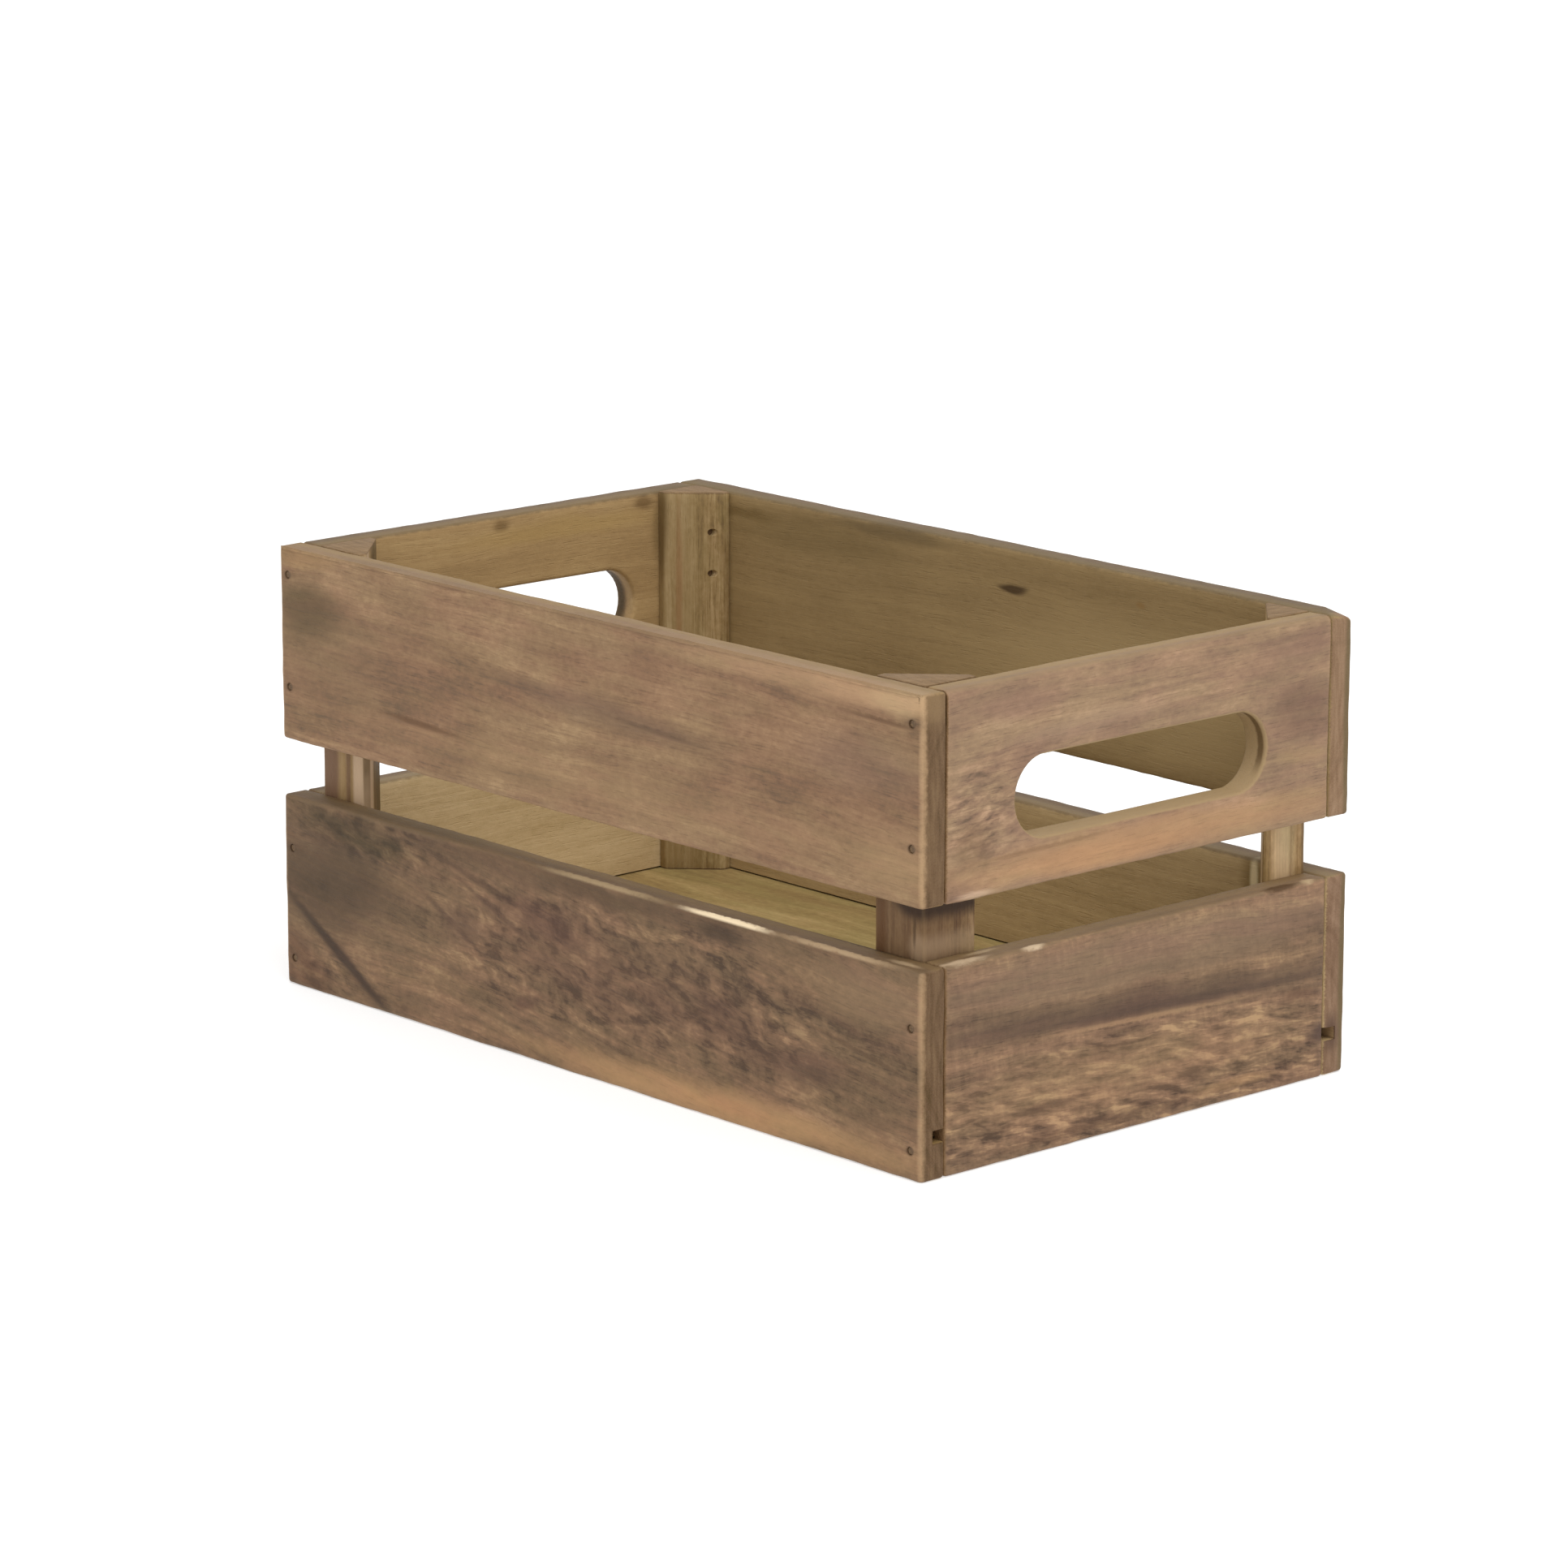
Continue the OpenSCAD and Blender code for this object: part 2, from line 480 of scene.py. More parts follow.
class Paint:  # one material and the nodes in it
    def __init__(self, name):
        self.material = bpy.data.materials.new(name)
        self.material.use_nodes = True
        self.tree = self.material.node_tree
        self.shader = self.tree.nodes["Principled BSDF"]

    def node(self, kind, settings, inputs, output=0):
        made = self.tree.nodes.new(kind)
        for key, value in settings.items():
            if key == "stops":
                self.setStops(made.color_ramp, value)
            else:
                setattr(made, key, value)
        for key, value in inputs.items():
            self.feed(made.inputs[key], value)
        return Wire(self, made.outputs[output])

    def feed(self, socket, value):
        if isinstance(value, Wire):
            self.tree.links.new(value.socket, socket)
        else:
            socket.default_value = value

    def setStops(self, ramp, stops):
        while len(ramp.elements) < len(stops):
            ramp.elements.new(0.5)
        for element, (place, colour) in zip(ramp.elements, stops):
            element.position = place
            element.color = colour

    def maths(self, operation, *values):
        return self.node("ShaderNodeMath", {"operation": operation}, dict(enumerate(values)))

    def ease(self, value, start, end):  # 0 at start, 1 at end, smooth between
        return self.node("ShaderNodeMapRange", {"interpolation_type": "SMOOTHSTEP"},
                         {"Value": value, "From Min": start, "From Max": end})

    def vector(self, x, y, z):
        return self.node("ShaderNodeCombineXYZ", {}, {0: x, 1: y, 2: z})

    def noise(self, place, detail=2.0, roughness=0.5):
        return self.node("ShaderNodeTexNoise", {},
                         {"Vector": place, "Scale": 1.0, "Detail": detail, "Roughness": roughness})

    def mix(self, amount, first, second, blend="MIX"):
        return self.node("ShaderNodeMix", {"data_type": "RGBA", "blend_type": blend},
                         {0: amount, 6: first, 7: second}, output=2)

    def ramp(self, value, colours):  # the colours stand evenly from 0.2 to 0.8
        gap = 0.6 / (len(colours) - 1)
        stops = [(0.2 + gap * turn, tone(code)) for turn, code in enumerate(colours)]
        return self.node("ShaderNodeValToRGB", {"stops": stops}, {"Fac": value})

    def spot(self, place, mark):  # the mark's amount in its middle, 0 outside it
        along, across = mark["at"]
        longHalf, shortHalf = mark["size"]
        local = self.node("ShaderNodeMapping", {"vector_type": "TEXTURE"},
                          {"Vector": place, "Location": (along, across, 0),
                           "Rotation": (0, 0, math.radians(mark["tilt"])),
                           "Scale": (longHalf, shortHalf, 1000)})
        far = self.node("ShaderNodeVectorMath", {"operation": "LENGTH"}, {0: local}, output="Value")
        return self.ease(far, 1.0, mark["core"]) * mark["amount"]

    def layOn(self, colour, marks, place, crispPlace=None, cover=None):
        for mark in marks:
            amount = self.spot(crispPlace if mark["crisp"] else place, mark)
            if cover:
                amount = amount * cover
            colour = self.mix(amount, colour, tone(mark["colour"]))
        return colour


def patch(at, size, colour=None, amount=1.0, tilt=0, core=0.25, crisp=False):
    # An ellipse on a face: its middle and half sizes in millimetres, its slant in degrees, and how far
    # out it keeps the full amount. The outline of a crisp one wavers less.
    return {"at": at, "size": size, "colour": colour, "amount": amount, "tilt": tilt, "core": core,
            "crisp": crisp}


# The wood of every piece.

def grainSpace(paint, low, high, axes, outward):
    # millimetres from the middle of the piece: along the grain, across the face, and out through it
    middle = (low + high) / 2
    place = paint.node("ShaderNodeTexCoord", {}, {}, output="Object")
    local = paint.node("ShaderNodeVectorMath", {"operation": "SUBTRACT"}, {0: place, 1: middle})
    scaled = paint.node("ShaderNodeVectorMath", {"operation": "SCALE"}, {0: local, "Scale": 1 / mm})
    split = paint.node("ShaderNodeSeparateXYZ", {}, {0: scaled})
    parts = [Wire(paint, split.socket.node.outputs[axis]) for axis in axes]
    half = [(high - low)[axis] / 2 / mm for axis in axes]
    parts[2] = parts[2] * outward
    return parts, half


# The slot's wall gets painted light: painted shade on the left end board, a painted lit band on the
# right one. A painted shadow, partly stain, darkens one end of the outer mouth.
def paintSlot(paint, colour, slot, place, halfW, fibres, specks):
    u, v, w = place
    beyond = paint.maths("MAXIMUM", paint.maths("ABSOLUTE", u) - slot["reach"], 0.0)
    fromMiddle = v + slot["drop"]
    gap = paint.maths("SQRT", beyond * beyond + fromMiddle * fromMiddle) - slot["radius"]
    # painted light and shade on the slot's wall
    wall = paint.ease(gap + (fibres - 0.5) * 0.4, 0.9, 0.3) * paint.ease(w, *slot["wallDepth"])
    colour = paint.mix(wall * slot["wallAmount"], colour, tone(slot["wallPaintedLight"]))
    # painted shadow, with some stain, at one end of the outer mouth
    rim = paint.ease(gap + specks, 1.3, 0.5) * paint.ease(u, *slot["rimAlong"])
    rim = rim * paint.ease(v, *slot["rimAcross"])
    # only just inside the outer mouth
    rim = rim * paint.ease(w + specks, halfW - 4.4, halfW - 3.2)
    rim = rim * paint.ease(w, halfW - 1.0, halfW - 2.0)
    return paint.mix(rim * slot["rimAmount"], colour, tone(slot["rimShadeAndStain"]))


def woodPaint(name, low, high, axes, outward, look):
    paint = Paint(name)
    (u, v, w), (halfU, halfV, halfW) = grainSpace(paint, low, high, axes, outward)
    seed = look["seed"]

    # the grain wanders as it runs along the board
    slow = paint.noise(paint.vector(u * 0.008 + seed, v * 0.026, w * 0.03), detail=2) - 0.5
    quick = paint.noise(paint.vector(u * 0.05 + seed, v * 0.11 + 7, w * 0.11), detail=2) - 0.5
    drift = slow * look["wander"] + quick * look["ripple"] + u * look["slope"]
    vg = v + drift
    wg = w + slow * look["wander"] * 0.4

    # growth rings round the pith, which lies off the board
    pithV, pithW = look["pith"]
    acrossPith = vg - pithV
    throughPith = wg - pithW
    ring = paint.maths("SQRT", acrossPith * acrossPith + throughPith * throughPith)
    ringPlace = paint.vector(ring / look["ringGap"] + seed, u * 0.004, 3.3)
    rings = paint.noise(ringPlace, detail=3, roughness=0.65)
    streaks = paint.noise(paint.vector(u * 0.008 + seed, vg * 0.30, wg * 0.30), detail=4, roughness=0.6)
    fibres = paint.noise(paint.vector(u * 0.04, vg * 1.3 + seed, wg * 1.3), detail=3, roughness=0.6)
    speckPlace = paint.vector(u * 0.35 + seed, v * 0.55, w * 0.55)
    specks = paint.noise(speckPlace, detail=3, roughness=0.65) - 0.5
    clouds = paint.noise(paint.vector(u * 0.035 + seed, v * 0.07, w * 0.05), detail=3) - 0.5
    poreField = paint.noise(paint.vector(u * 0.16, vg * 2.2 + seed, wg * 2.2), detail=2)
    pores = paint.ease(poreField, 0.58, 0.70)

    # short wavy flecks where the grain curls
    fleck = look["flecks"]
    lean = math.radians(fleck["tilt"])
    along = u * math.cos(lean) + v * math.sin(lean)
    across = v * math.cos(lean) - u * math.sin(lean) + quick * fleck["swirl"]
    fleckPlace = paint.vector(along / fleck["length"] + seed, across / fleck["width"], w * 0.2)
    fleckField = paint.noise(fleckPlace, detail=3, roughness=0.58)
    fleckMask = paint.ease(fleckField, 0.49, 0.66) - paint.ease(fleckField, 0.50, 0.36) * 0.8
    softPlace = paint.vector(u, v + (quick * 1.2 + clouds) * look["markDrift"], w)
    crispPlace = paint.vector(u, v + specks * 1.2, w)
    zones = fleck["amount"]
    for zone in fleck["zones"]:
        zones = zones + paint.spot(softPlace, zone)

    figure = 0.5 + (rings - 0.5) * look["rings"] + (streaks - 0.5) * look["streaks"]
    figure = figure + clouds * look["clouds"]
    figure = figure + (fibres - 0.5) * look["fibres"] + specks * look["specks"]
    if look["sawn"]:  # faint marks of the saw, nearly square to the grain
        sawPlace = paint.vector(u * 0.7 + v * 0.12 + seed, v * 0.11, w * 0.1)
        figure = figure + (paint.noise(sawPlace, detail=3) - 0.5) * look["sawn"]
    outer = figure - fleckMask * zones - pores * look["pores"]
    colour = paint.ramp(outer, look["colours"])
    colour = paint.layOn(colour, look["marks"], softPlace, crispPlace)
    shade = 1.0 + (outer - 0.5) * look["overMarks"]  # the figure goes on through the patches
    colour = paint.mix(1.0, colour, paint.vector(shade, shade, shade), blend="MULTIPLY")

    # some of the wood is redder and some more olive
    redder = (1.025, 0.99, 0.985, 1)
    greener = (0.975, 1.0, 0.95, 1)
    hue = paint.noise(paint.vector(u * 0.03 + seed, vg * 0.12, w * 0.1), detail=3, roughness=0.6)
    tint = paint.mix(paint.ease(hue, 0.36, 0.64), redder, greener)
    colour = paint.mix(1.0, colour, tint, blend="MULTIPLY")
    colour = paint.mix(1.0, colour, (*look["stain"], 1), blend="MULTIPLY")

    # the face that looks into the crate is smoother and yellower, and paler as painted light in the
    # crate's shade
    inner = figure * 0.6 + 0.2 - pores * look["pores"] * 0.4
    innerColour = paint.ramp(inner, look["innerColours"])
    innerColour = paint.layOn(innerColour, look["innerMarks"], softPlace, crispPlace)
    innerColour = paint.mix(1.0, innerColour, (*look["innerStain"], 1), blend="MULTIPLY")
    inward = paint.ease(w + quick * 2.0, 0.45 * halfW, -0.45 * halfW)
    colour = paint.mix(inward, colour, innerColour)

    # worn edges are paler
    fromU = halfU - paint.maths("ABSOLUTE", u)
    fromV = halfV - paint.maths("ABSOLUTE", v)
    fromW = halfW - paint.maths("ABSOLUTE", w)
    shorter = paint.maths("MINIMUM", fromU, fromV)
    longer = paint.maths("MAXIMUM", fromU, fromV)
    edge = paint.maths("MAXIMUM", shorter, paint.maths("MINIMUM", longer, fromW))
    worn = paint.ease(edge + (streaks - 0.5) * 5.0 + (fibres - 0.5) * 2.0, 1.7, 0.2) * look["wear"]
    colour = paint.mix(worn, colour, tone(look["wornColour"]))

    if look["topColour"]:
        top = paint.ease(halfV - v + specks + (streaks - 0.5) * 1.5, 1.3, 0.3)
        colour = paint.mix(top * look["topAmount"], colour, tone(look["topColour"]))
    if look["topMarks"]:  # these lie along the board and out from its middle
        topPlace = paint.vector(u, w + specks * 2.0, 0)
        colour = paint.layOn(colour, look["topMarks"], topPlace, cover=paint.ease(halfV - v, 1.8, 0.8))

    if look["slot"]:
        colour = paintSlot(paint, colour, look["slot"], (u, v, w), halfW, fibres, specks)

    # end grain: the ends of the fibres drink up more stain
    endSpeck = paint.noise(paint.vector(u * 0.2 + seed, v * 1.9, w * 1.9), detail=3, roughness=0.65)
    endLines = paint.noise(paint.vector(seed, v * 0.09, w * 0.75), detail=3)
    ends = 0.5 + (rings - 0.5) * 0.6 + (endSpeck - 0.5) * 0.4 + (endLines - 0.5) * 0.7
    endColour = paint.ramp(ends, look["endColours"])
    endColour = paint.layOn(endColour, look["endMarks"], paint.vector(w, v, u))
    endMask = paint.ease(fromU + (fibres - 0.5) * 0.8, 0.75, 0.25)
    colour = paint.mix(endMask, colour, endColour)

    # the standing corner at each end of a board is rubbed pale and carries a painted highlight
    fromFace = halfW - w
    wornAndHighlitCorner = paint.ease(fromFace + fromU + specks * 1.2, 2.3, 0.9) * look["cornerWear"]
    colour = paint.mix(wornAndHighlitCorner, colour, tone(look["wornColour"]))

    # dark rings round the nails
    mirrored = paint.vector(paint.maths("ABSOLUTE", u), v, w)
    for nail in look["nails"]:
        colour = paint.layOn(colour, [patch(nail, (8.0, 1.7), "57432f", 0.3, core=0.1),
                                      patch(nail, (2.2, 1.9), "483526", 0.6, core=0.5)], mirrored)

    rough = 0.62 + (fibres - 0.5) * 0.25 + (streaks - 0.5) * 0.15 + endMask * 0.12
    height = fibres * 0.5 + rings * 0.3 + specks * 0.4 - pores * 0.45 - fleckMask * zones * 0.5
    height = height + endMask * endSpeck * 0.7
    bump = paint.node("ShaderNodeBump", {},
                      {"Strength": look["bump"], "Distance": 0.35 * mm, "Height": height})
    paint.feed(paint.shader.inputs["Base Color"], colour)
    paint.feed(paint.shader.inputs["Roughness"], rough)
    paint.feed(paint.shader.inputs["Normal"], bump)
    paint.shader.inputs["Specular IOR Level"].default_value = 0.2
    return paint.material


woodLook = {  # what the wood of every piece starts from; lengths in millimetres
    "seed": 0.0,
    "wander": 9.0,
    "ripple": 1.2,
    "slope": 0.0,
    "pith": (6.0, -46.0),
    "ringGap": 3.2,
    "rings": 0.4,
    "streaks": 0.62,
    "clouds": 0.45,
    "fibres": 0.32,
    "specks": 0.42,
    "pores": 0.10,
    "sawn": 0.0,
    "flecks": {"amount": 0.0, "length": 9.0, "width": 2.4, "tilt": 0, "swirl": 6.0, "zones": []},
    "colours": ["6b5441", "8a6d55", "96795d", "a98b6c"],
    "innerColours": ["66502f", "7d6541", "8d744c"],
    "endColours": ["54401f", "75593c", "8d7250"],
    "wornColour": "b39470",
    "wear": 0.25,
    "cornerWear": 0.0,
    "bump": 0.5,
    "stain": (0.90, 0.86, 0.80),  # deepens the outside
    "innerStain": (1.45, 1.45, 1.40),
    "overMarks": 0.5,  # how much of the figure shows through the patches
    "markDrift": 4.0,
    "topColour": None,  # of the upper edge
    "topAmount": 0.7,
    "slot": None,
    "marks": [],  # on the outer face
    "topMarks": [],  # on the upper edge
    "innerMarks": [],
    "endMarks": [],
    "nails": [],  # where the outer face has nails
}


def lookOf(**changes):
    look = dict(woodLook)
    look.update(changes)
    return look


handSlot = {
    "length": 104.0 * mm,
    "height": 24.5 * mm,
    "drop": 5.0 * mm,  # below the middle of its board
}


def slotLook(wallPaintedLight, rimShadeAndStain, rimAmount, wallDepth=(-9, -7)):
    return {
        "reach": (handSlot["length"] - handSlot["height"]) / 2 / mm,
        "radius": handSlot["height"] / 2 / mm,
        "drop": handSlot["drop"] / mm,
        "wallPaintedLight": wallPaintedLight,
        "wallAmount": 0.9,
        "wallDepth": wallDepth,  # the wall's painted light and shade sets in between these places
        "rimShadeAndStain": rimShadeAndStain,  # a painted shadow round one end of the slot, with some stain on the right end board
        "rimAmount": rimAmount,
        "rimAlong": (30, 42),
        "rimAcross": (-15.0, -7.0),
    }


# Along the board from its middle and up from it. The other end has the same.
nailMarksUpper = [(145.25, -14.0), (145.25, 22.5)]
nailMarksLower = [(145.25, -22.5), (145.25, 14.0)]


def nailsInto(hand, level):  # the nails that go into an end board
    return [f"front_{level}_nails", f"back_{level}_nails",
            f"front_{hand}_post_nails", f"back_{hand}_post_nails"]


boards = {
    "frontUpperBoard": {
        "node": "front_upper_board", "grain": 0, "outward": -1, "rubbedTop": True,
        "nails": ["front_upper_nails"],
        "look": lookOf(
            seed=1.7, pith=(-8.0, -60.0), ringGap=5.0, slope=0.02, nails=nailMarksUpper, cornerWear=0.7,
            stain=(0.84, 0.83, 0.79), wear=0.08, specks=0.4, topColour="80694c", topAmount=0.5,
            streaks=0.55, fibres=0.28, clouds=0.6,
            endColours=["4a381f", "674f37", "7b6347"],
            colours=["745d4a", "8b6c53", "97795d", "a98b6c"],
            marks=[
                patch((-136, 13), (22, 14), "56462f", 0.75, core=0.3),
                patch((-125, 0), (50, 30), "80684f", 0.4),
                patch((10, 3.5), (70, 6), "7b614f", 0.6, tilt=-3),
                patch((0, -20), (160, 11), "9d7f60", 0.4, core=0.3),
                patch((-78, -15), (28, 1.6), "6b4f37", 0.8, tilt=-2.5, crisp=True),
                patch((35, 1.5), (32, 1.3), "6a5241", 0.6, tilt=-3, crisp=True),
                patch((133, 21.5), (22, 1.2), "6b503a", 0.7, tilt=-2, crisp=True),
                patch((125, 7), (40, 13), "816756", 0.5),
                patch((120, 30), (110, 8), "b39271", 0.8),
                # painted highlight on the rounded top corner at this end
                patch((142, 28), (22, 7), "c4a580", 0.6),
                patch((138, -19), (28, 12), "a88a68", 0.6),
                patch((-140, 29), (26, 5), "a5855f", 0.6),
            ],
            endMarks=[patch((0, 28), (7, 9), "836a4b", 0.8)]),
    },
    "frontLowerBoard": {
        "node": "front_lower_board", "grain": 0, "outward": -1, "nails": ["front_lower_nails"],
        "look": lookOf(
            seed=5.2, pith=(30.0, -50.0), ringGap=3.6, slope=0.10, wander=16.0, nails=nailMarksLower,
            cornerWear=0.55, wear=0.1, specks=0.42, stain=(0.80, 0.78, 0.76), topColour="6a563f",
            streaks=0.5, fibres=0.26, clouds=0.65,
            endColours=["483619", "654d36", "7b6347"],
            colours=["5a4636", "786049", "8b6e54", "a18464"],
            flecks={"amount": 0.03, "length": 9.0, "width": 4.2, "tilt": -15, "swirl": 10.0, "zones": [
                patch((15, 4), (115, 28), amount=0.2, core=0.5),
                patch((95, -8), (45, 22), amount=0.08),
                patch((-108, 24), (50, 12), amount=0.3, core=0.3),
                patch((-135, -24), (30, 12), amount=0.2),
            ]},
            marks=[
                patch((-126, 8), (54, 30), "5a4736", 0.85),
                patch((10, 4), (105, 24), "745846", 0.45, tilt=-4),
                patch((-108, 25), (46, 9), "4e412c", 0.7, tilt=-5, core=0.3),
                patch((-52, 21), (34, 1.8), "584335", 0.6, tilt=-13, crisp=True),
                patch((-40, 12), (36, 1.6), "5c4638", 0.6, tilt=-21, crisp=True),
                patch((-66, 6), (26, 1.7), "5c4638", 0.5, tilt=-27, crisp=True),
                patch((-60, 5), (15, 8), "654b3f", 0.5),
                patch((-20, 14), (24, 7), "61473b", 0.5, tilt=-10),
                patch((-28, -13), (10, 3), "61473a", 0.6, tilt=20),
                patch((64, 0), (20, 9), "604639", 0.5),
                patch((103, -7), (24, 8), "60463b", 0.55),
                patch((10, 27.5), (38, 4), "51432d", 0.6),
                patch((-10, 28), (140, 7), "624e3b", 0.65),
                patch((63, 25.5), (17, 3.8), "4b3b2d", 0.7),
                patch((60, -27), (125, 8.5), "b89169", 0.85),
                patch((66, -26), (32, 3.5), "bd9168", 0.6),
                patch((90, -8), (24, 7), "6a5140", 0.5),
                patch((130, 20), (34, 14), "8f745a", 0.6),
                patch((112, 10), (32, 1.1), "6c5440", 0.6, tilt=-9, crisp=True),
                patch((122, 3), (30, 1.2), "664e3b", 0.65, tilt=-10, crisp=True),
                patch((126, -4), (26, 1.1), "6c5440", 0.6, tilt=-10, crisp=True),
                patch((-143, -25), (28, 15), "6a4d3a", 0.7, tilt=-32, core=0.3),
                patch((-122, -16.2), (42, 5), "594535", 0.5, tilt=-30.5),
                patch((-121.5, -16.4), (42, 2.7), "43342a", 0.85, tilt=-30.5, core=0.3, crisp=True),
            ],
            topMarks=[
                patch((-90, 0), (60, 6), "574934", 0.5, core=0.4),
                # painted shade on the inner side of the top edge at the right end
                patch((122, -4.0), (34, 1.6), "4c3b23", 0.8, core=0.4),
                # the next three are painted highlights, partly real wear, along the top edge
                patch((65, 4.4), (25, 1.5), "f0dab6", 0.95, core=0.4),
                patch((114, 4.2), (34, 1.2), "b89d7a", 0.7),
                patch((8, 4.2), (38, 1.2), "a8916e", 0.7),
                patch((139, 1.0), (9, 2.2), "bfa684", 0.6),
            ]),
    },
    "backUpperBoard": {
        "node": "back_upper_board", "grain": 0, "outward": 1, "nails": ["back_upper_nails"],
        "knock": {"corner": (1, 1, 1), "reach": (12, 11, 2.4)},
        "look": lookOf(
            seed=9.1, pith=(14.0, -42.0), ringGap=4.0, nails=nailMarksUpper, wear=0.05,
            innerStain=(1.32, 1.40, 1.50), topColour="5d4f39",
            endColours=["6f543c", "856a51", "977c62"],
            endMarks=[patch((3.4, 0), (3, 60), "65563a", 0.8, core=0.4)],
            innerMarks=[
                patch((12, 19.8), (9, 2.1), "3d2b16", 0.95, core=0.4),
                patch((-80, 22), (60, 9), "64502f", 0.5),
                patch((-45, 29), (40, 3.5), "56452b", 0.6),
                patch((69, 22), (3, 2), "75552d", 0.6),
                patch((-118, 25), (24, 3), "57421f", 0.5),
                patch((70, -4), (120, 30), "957c54", 0.7),
            ]),
    },
    "backLowerBoard": {
        "node": "back_lower_board", "grain": 0, "outward": 1, "nails": ["back_lower_nails"],
        "look": lookOf(
            seed=13.4, pith=(-24.0, -38.0), ringGap=3.8, nails=nailMarksLower, wear=0.1,
            # the inner face is painted much paler here: painted light in the shade low in the crate
            innerStain=(2.1, 2.35, 2.9), topColour="6d5c44",
            endColours=["674d38", "7c614b", "8f745d"],
            innerMarks=[
                # painted shade beside the back right post; the pale strip after it is a stain
                patch((120, 25), (8, 12), "55411f", 0.7, core=0.3),
                patch((119.5, 25), (2.4, 10), "a8946c", 0.8, core=0.3),
            ],
            endMarks=[
                patch((3.4, 0), (3, 60), "65563a", 0.8, core=0.4),
                patch((-1.5, -18), (5, 9), "513c31", 0.75),
            ]),
    },
    "leftUpperEnd": {
        "node": "left_upper_end", "grain": 1, "outward": -1,
        "nails": nailsInto("left", "upper"),
        "look": lookOf(
            seed=17.9, pith=(10.0, -44.0), ringGap=4.4, wear=0.05, topColour="5d4f39",
            innerColours=["735a39", "8c7049", "a08459"], innerStain=(1.40, 1.48, 1.62),
            # painted shade on the slot's wall and at one end of its rim
            slot=slotLook("5b482b", "4a3a20", 0.7, wallDepth=(-1.5, 1.0)),
            innerMarks=[
                patch((-5, 28.5), (5, 3), "5e4627", 0.7),
                patch((56, 28.5), (6, 3), "5a4224", 0.7),
                patch((20, 24), (60, 5), "967945", 0.4),
                patch((70, 31), (14, 2), "54452d", 0.6),
                # painted shade along the back left post
                patch((62, 18), (3.5, 14), "66502e", 0.5),
            ]),
    },
    "leftLowerEnd": {
        "node": "left_lower_end", "grain": 1, "outward": -1,
        "nails": nailsInto("left", "lower"),
        "look": lookOf(
            seed=21.3, pith=(-14.0, -52.0), ringGap=3.5, wear=0.1, topColour="75634a",
            # the inner face is painted much paler here: painted light in the shade low in the crate
            innerColours=["85693f", "a08459", "b2966a"], innerStain=(1.73, 1.98, 2.55)),
    },
    "rightUpperEnd": {
        "node": "right_upper_end", "grain": 1, "outward": 1, "rubbedTop": True,
        "nails": nailsInto("right", "upper"),
        "look": lookOf(
            seed=25.6, pith=(-4.0, -58.0), ringGap=4.6, slope=-0.02, stain=(0.76, 0.76, 0.74),
            specks=0.35, streaks=0.48, fibres=0.26, clouds=0.6, wear=0.12,
            colours=["7b6452", "957762", "a3856a", "b7967a"], topColour="8f7858", topAmount=0.5,
            # a painted lit band on the slot's wall, and a painted shadow with some stain at one end of
            # its rim
            slot=slotLook("9c8460", "5a4427", 0.85),
            flecks={"amount": 0.03, "length": 8.0, "width": 2.6, "tilt": 6, "swirl": 6.0, "zones": [
                patch((-66, -8), (22, 24), amount=0.22),
            ]},
            marks=[
                patch((-52, 24), (30, 6.5), "886b5b", 0.55),
                patch((66, 24), (26, 7), "886b5b", 0.55),
                patch((-22, 14), (44, 5), "b3937a", 0.5, tilt=3),
                patch((67, 4), (18, 12), "7f6352", 0.65),
                patch((67, -9), (17, 3.5), "ac8d6b", 0.6),
                patch((-70, -15), (12, 9), "86684f", 0.55),
                patch((0, -24.5), (125, 9), "b58f6a", 0.85),
                patch((-15, -26), (52, 5), "c0946b", 0.5),
                patch((-40, -20.5), (42, 1.1), "8f6f52", 0.6, tilt=1, crisp=True),
                # painted highlight on the lower edge
                patch((-68, -30), (10, 1.6), "d6b79c", 0.7, crisp=True),
            ]),
    },
    "rightLowerEnd": {
        "node": "right_lower_end", "grain": 1, "outward": 1,
        "nails": nailsInto("right", "lower"),
        "look": lookOf(
            seed=29.8, pith=(34.0, -50.0), ringGap=3.0, slope=0.03, wear=0.1, stain=(0.76, 0.74, 0.74),
            topColour="7a654b", specks=0.38, sawn=0.18, streaks=0.5, fibres=0.25,
            colours=["5c4737", "7d634d", "95775c", "b3946f"],
            flecks={"amount": 0.02, "length": 13.0, "width": 3.2, "tilt": -8, "swirl": 5.0, "zones": [
                patch((0, -17), (120, 19), amount=0.25, core=0.7),
            ]},
            marks=[
                patch((0, 21), (130, 12), "88705a", 0.65, core=0.4),
                patch((-10, -13), (110, 14), "a28261", 0.5, core=0.3),
                patch((0, 7.2), (150, 6.5), "6a5544", 0.65, tilt=-2.4, core=0.2),
                patch((0, 5.0), (150, 3.2), "5f4a3d", 0.5, tilt=-2.2, core=0.3),
                patch((15, 3.9), (90, 1.8), "5c493c", 0.5, tilt=-2.2, core=0.3, crisp=True),
                patch((5, 1.5), (60, 1.2), "b3916d", 0.7, tilt=-2.2, crisp=True),
                patch((-36, -17.5), (24, 1.7), "624a39", 0.6, crisp=True),
                patch((80, -17), (12, 5.5), "503e36", 0.85, crisp=True),
                patch((-15, -27), (55, 3), "694f3b", 0.5),
                patch((40, -26), (26, 2.6), "ad8a64", 0.6),
                patch((68, -4), (10, 3.5), "6b513e", 0.6),
            ],
            topMarks=[
                patch((-71, 2.6), (13, 2.4), "c6ae90", 0.8, core=0.3),
                patch((-60, -1.5), (9, 1.4), "bda583", 0.6),
                patch((-66, 0.6), (7, 0.9), "6a5136", 0.7),
